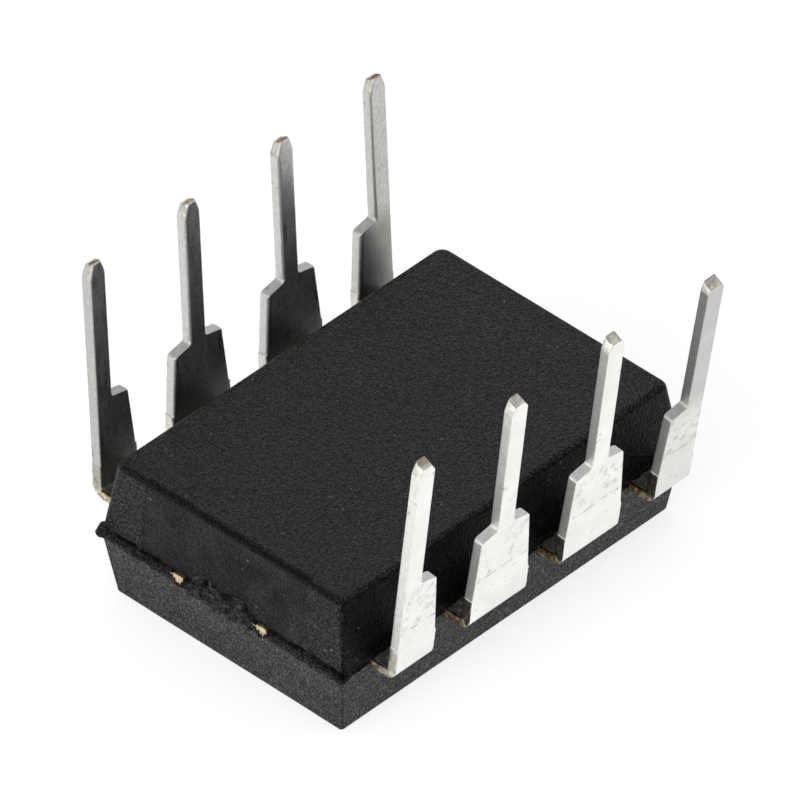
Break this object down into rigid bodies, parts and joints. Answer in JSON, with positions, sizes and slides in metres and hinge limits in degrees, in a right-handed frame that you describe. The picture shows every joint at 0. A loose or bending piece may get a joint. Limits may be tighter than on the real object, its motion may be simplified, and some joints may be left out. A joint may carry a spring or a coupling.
{
  "type": "dual in-line integrated circuit package",
  "caption": "Small plastic dual in-line package lying on its marked face, with tin-plated through-hole leads pointing up, and the lead frame, die and bond wires modelled inside.",
  "frame": {"origin": "centre of the package's marked face, which rests on z = 0", "axes": "+X along the body toward the index notch, +Y across the rows toward leads 5 to 8, +Z from the marked face to the board side, which is the way the leads point"},
  "size_m": [0.0095, 0.0091, 0.0069],
  "materials": {
    "epoxy": "fine spark-eroded grain, near-black moulding epoxy",
    "tinned_lead": "satin tin plating on copper alloy, bare copper where sheared",
    "frame_copper": "bare copper-alloy lead frame",
    "die_adhesive": "silver-filled adhesive",
    "silicon": "polished silicon",
    "gold_wire": "drawn gold wire"
  },
  "bodies": {
    "root": {"body": "epoxy", "lead_1": "tinned_lead", "lead_2": "tinned_lead", "lead_3": "tinned_lead", "lead_4": "tinned_lead", "lead_5": "tinned_lead", "lead_6": "tinned_lead", "lead_7": "tinned_lead", "lead_8": "tinned_lead", "die_pad": "frame_copper", "die_attach": "die_adhesive", "die": "silicon", "bond_wire_1": "gold_wire", "bond_wire_2": "gold_wire", "bond_wire_3": "gold_wire", "bond_wire_4": "gold_wire", "bond_wire_5": "gold_wire", "bond_wire_6": "gold_wire", "bond_wire_7": "gold_wire", "bond_wire_8": "gold_wire"}
  },
  "joints": []
}
